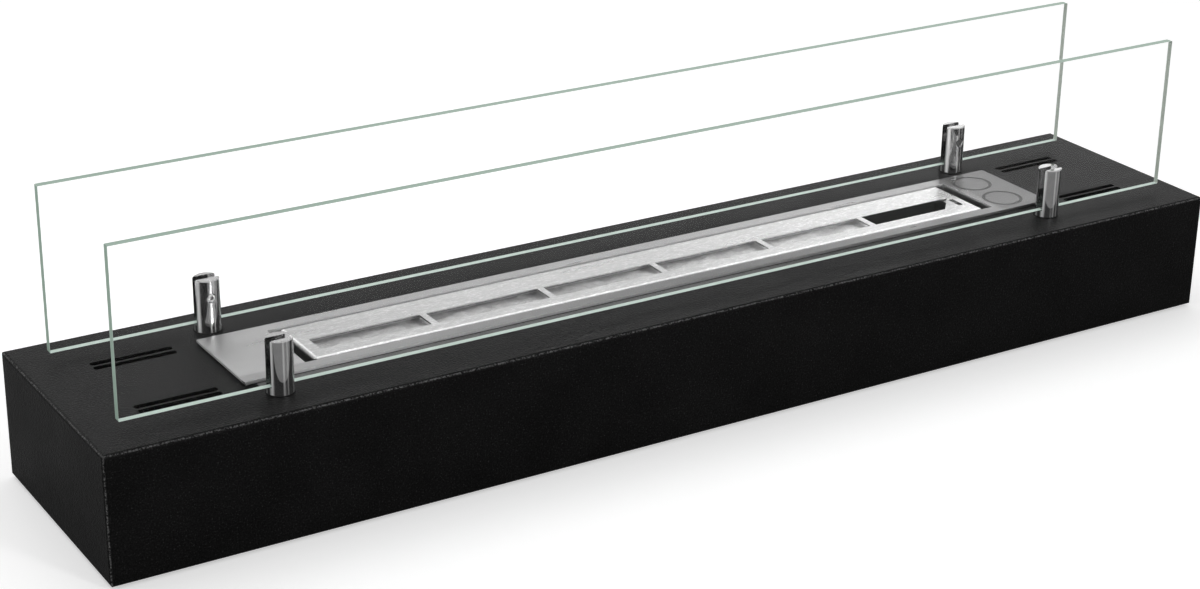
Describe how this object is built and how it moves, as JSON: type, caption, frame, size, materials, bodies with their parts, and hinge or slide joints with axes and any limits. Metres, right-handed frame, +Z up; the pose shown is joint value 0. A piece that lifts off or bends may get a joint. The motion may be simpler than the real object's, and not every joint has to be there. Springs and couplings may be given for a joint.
{
  "type": "bioethanol fireplace",
  "caption": "Long free-standing bioethanol fireplace: black steel housing, lift-out stainless fuel box with windows over ceramic wool, and two clear panes in slotted posts.",
  "frame": {"origin": "under the middle of the feet, on the surface the fireplace stands on", "axes": "+X along the length towards the filling window, +Y from the front pane to the rear pane, +Z up"},
  "size_m": [1, 0.2, 0.237],
  "materials": {
    "black_powder_coat": "fine-textured matte black powder coat",
    "zinc_sheet": "zinc-plated sheet",
    "zinc_fastener": "bright zinc",
    "black_rubber": "matte",
    "stainless_sheet": "mill-finish stainless sheet",
    "brushed_stainless": "long-grain brushed stainless",
    "satin_stainless": "bright satin stainless, slightly mottled",
    "ceramic_wool": "loose white fibre",
    "polished_post": "mirror polish",
    "grey_silicone": "matte",
    "clamp_screw_steel": "plain stainless",
    "white_nylon": "matte",
    "clear_glass": "clear float glass with polished pale green edges"
  },
  "bodies": {
    "root": {"housing_shell": "black_powder_coat", "bottom_plate": "zinc_sheet", "bottom_plate_screws": "zinc_fastener", "foot_front_left": "black_rubber", "foot_front_right": "black_rubber", "foot_rear_left": "black_rubber", "foot_rear_right": "black_rubber", "drip_trough": "stainless_sheet", "trough_rim": "stainless_sheet", "burner_frame": "brushed_stainless", "burner_frame_studs": "stainless_sheet", "burner_frame_nuts": "zinc_fastener", "glass_post_front_left": "polished_post", "glass_post_front_right": "polished_post", "glass_post_rear_left": "polished_post", "glass_post_rear_right": "polished_post", "glass_seat_front_left": "grey_silicone", "glass_seat_front_right": "grey_silicone", "glass_seat_rear_left": "grey_silicone", "glass_seat_rear_right": "grey_silicone", "post_washers": "zinc_fastener", "post_nuts": "zinc_fastener"},
    "fuel_box": {"fuel_box_body": "stainless_sheet", "fuel_box_top": "satin_stainless", "wool_baffle": "stainless_sheet", "wool_pad_1": "ceramic_wool", "wool_pad_2": "ceramic_wool", "wool_pad_3": "ceramic_wool", "wool_pad_4": "ceramic_wool", "wool_pad_5": "ceramic_wool", "shutter_rail_left": "stainless_sheet", "shutter_rail_right": "stainless_sheet"},
    "shutter": {"flame_shutter": "stainless_sheet"},
    "front_pane": {"glass_pane_front": "clear_glass"},
    "rear_pane": {"glass_pane_rear": "clear_glass"},
    "clamp_front_left": {"clamp_screw_front_left": "clamp_screw_steel", "clamp_tip_front_left": "white_nylon"},
    "clamp_front_right": {"clamp_screw_front_right": "clamp_screw_steel", "clamp_tip_front_right": "white_nylon"},
    "clamp_rear_left": {"clamp_screw_rear_left": "clamp_screw_steel", "clamp_tip_rear_left": "white_nylon"},
    "clamp_rear_right": {"clamp_screw_rear_right": "clamp_screw_steel", "clamp_tip_rear_right": "white_nylon"}
  },
  "joints": [
    {"name": "fuel_box_lift", "type": "slide", "parent": "root", "child": "fuel_box", "axis": [0, 0, 1], "range_m": [0, 0.08]},
    {"name": "shutter_slide", "type": "slide", "parent": "fuel_box", "child": "shutter", "axis": [0, -1, 0], "range_m": [0, 0.0222]},
    {"name": "glass_front_lift", "type": "slide", "parent": "root", "child": "front_pane", "axis": [0, 0, 1], "range_m": [0, 0.045]},
    {"name": "glass_rear_lift", "type": "slide", "parent": "root", "child": "rear_pane", "axis": [0, 0, 1], "range_m": [0, 0.045]},
    {"name": "clamp_front_left_turn", "type": "hinge", "parent": "root", "child": "clamp_front_left", "pos_m": [-0.3535, -0.064, 0.13], "axis": [0, -1, 0], "range_deg": [0, 720]},
    {"name": "clamp_front_right_turn", "type": "hinge", "parent": "root", "child": "clamp_front_right", "pos_m": [0.3535, -0.064, 0.13], "axis": [0, -1, 0], "range_deg": [0, 720]},
    {"name": "clamp_rear_left_turn", "type": "hinge", "parent": "root", "child": "clamp_rear_left", "pos_m": [-0.3535, 0.064, 0.13], "axis": [0, 1, 0], "range_deg": [0, 720]},
    {"name": "clamp_rear_right_turn", "type": "hinge", "parent": "root", "child": "clamp_rear_right", "pos_m": [0.3535, 0.064, 0.13], "axis": [0, 1, 0], "range_deg": [0, 720]}
  ]
}
